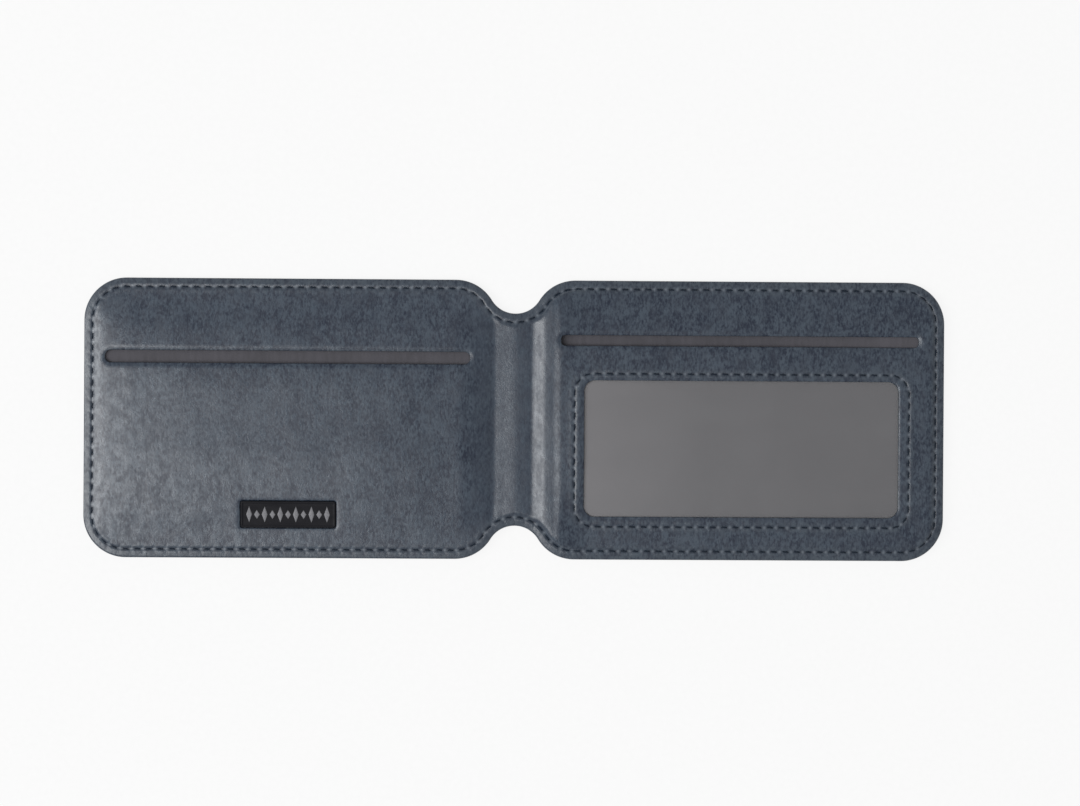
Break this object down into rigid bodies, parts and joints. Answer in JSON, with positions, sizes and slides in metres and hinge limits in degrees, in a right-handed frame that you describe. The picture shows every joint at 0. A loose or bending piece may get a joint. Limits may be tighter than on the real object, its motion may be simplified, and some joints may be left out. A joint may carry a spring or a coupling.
{
  "type": "bifold wallet",
  "caption": "Slim bifold card wallet lying open: two formed leather leaves joined by a narrow notched spine, with card slots and a clear window.",
  "frame": {"origin": "middle of the underside of the open wallet, on the surface that it lies on", "axes": "+X along the open length from the left leaf to the right leaf, +Y up the leaves towards the card slots, +Z out of the inner side"},
  "size_m": [0.207, 0.0672, 0.0047],
  "materials": {
    "outer_leather": "smooth slate blue leather, semi-matt",
    "inner_leather": "pull-up slate blue leather, mottled, semi-gloss",
    "board": "plain fibre board",
    "lining": "fine woven grey lining",
    "film": "clear flexible film, slightly matt",
    "thread": "twisted blue-grey polyester thread",
    "label": "near-black embossed plate",
    "filler": "non-woven reinforcement"
  },
  "bodies": {
    "left_leaf": {"left_outer_cover": "outer_leather", "left_inner_panel": "inner_leather", "left_stiffener_board": "board", "left_pocket_back_lining": "lining", "left_pocket_front_lining": "lining", "label_plate": "label", "left_edge_thread": "thread", "left_edge_bobbin_thread": "thread"},
    "spine": {"spine_outer_cover": "outer_leather", "spine_inner_panel": "inner_leather", "spine_filler_strip": "filler", "spine_top_thread": "thread", "spine_top_bobbin_thread": "thread", "spine_bottom_thread": "thread", "spine_bottom_bobbin_thread": "thread"},
    "right_leaf": {"right_outer_cover": "outer_leather", "right_inner_panel": "inner_leather", "right_stiffener_board": "board", "right_pocket_back_lining": "lining", "right_pocket_front_lining": "lining", "id_window_film": "film", "window_thread": "thread", "window_bobbin_thread": "thread", "right_edge_thread": "thread", "right_edge_bobbin_thread": "thread"}
  },
  "joints": [
    {"name": "left_crease_fold", "type": "hinge", "parent": "left_leaf", "child": "spine", "pos_m": [-0.0051, 0, 0.00128], "axis": [0, -1, 0], "range_deg": [0, 90]},
    {"name": "right_crease_fold", "type": "hinge", "parent": "spine", "child": "right_leaf", "pos_m": [0.0051, 0, 0.00128], "axis": [0, -1, 0], "range_deg": [0, 90]}
  ]
}
